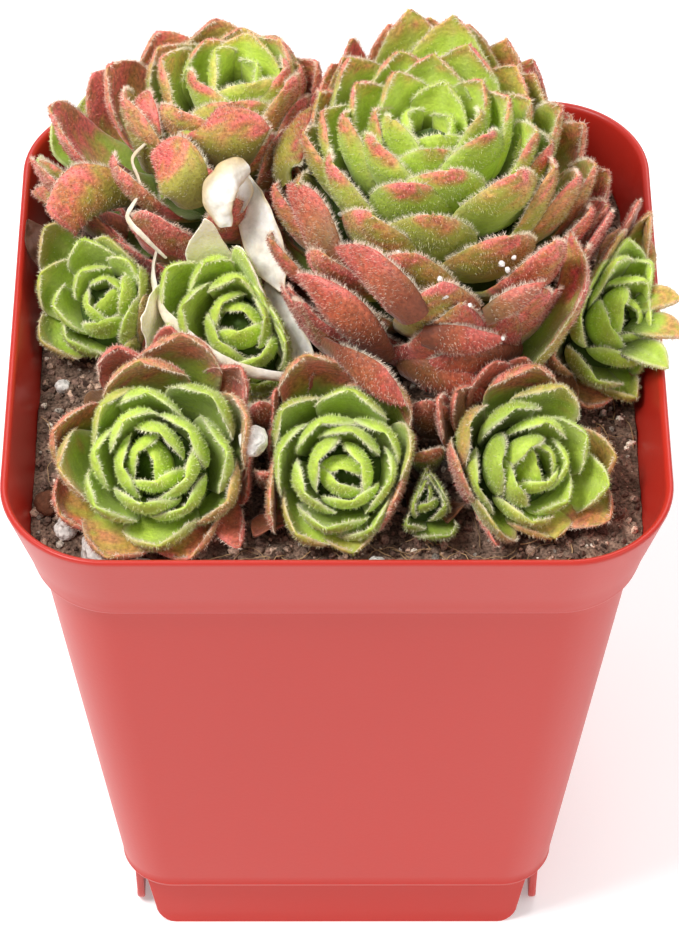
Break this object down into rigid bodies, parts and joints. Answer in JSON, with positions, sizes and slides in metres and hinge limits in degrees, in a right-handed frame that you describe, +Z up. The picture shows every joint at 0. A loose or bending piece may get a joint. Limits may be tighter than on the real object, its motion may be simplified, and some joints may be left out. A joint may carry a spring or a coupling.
{
  "type": "potted rosette succulent",
  "caption": "Square tapered nursery pot with a deep rim band, filled with soil and a dense clump of hairy rosette succulents, for display on a flat surface.",
  "frame": {"origin": "middle of the pot's footprint, on the surface that the pot stands on", "axes": "+Z up out of the pot, +Y away from the viewer of the picture, +X to the viewer's right"},
  "size_m": [0.089, 0.089, 0.1277],
  "materials": {
    "pot_plastic": "satin red moulded plastic",
    "soil": "dark brown loose potting soil, granular and matt",
    "live_leaf": "yellow green leaves, soft and finely hairy, pink red towards the tips",
    "dry_leaf": "cream papery dried leaf",
    "dead_leaf": "dark brown shrivelled leaf",
    "perlite": "white porous perlite grains",
    "bark": "brown bark clod"
  },
  "bodies": {
    "root": {"pot": "pot_plastic", "soil": "soil", "rosette_main": "live_leaf", "rosette_second": "live_leaf", "rosette_front_left": "live_leaf", "rosette_front_middle": "live_leaf", "rosette_front_right": "live_leaf", "rosette_centre": "live_leaf", "rosette_left": "live_leaf", "rosette_right": "live_leaf", "rosette_bud": "live_leaf", "rosette_back_left": "live_leaf", "perlite_corner": "perlite", "perlite_front_left": "perlite", "perlite_front": "perlite", "perlite_middle": "perlite", "perlite_back": "perlite", "perlite_left": "perlite", "bark_clod": "bark", "perlite_on_leaves": "perlite", "dry_leaf_strip": "dry_leaf", "dry_leaf_curl": "dry_leaf", "dry_leaf_long": "dry_leaf", "dead_leaf": "dead_leaf"}
  },
  "joints": []
}
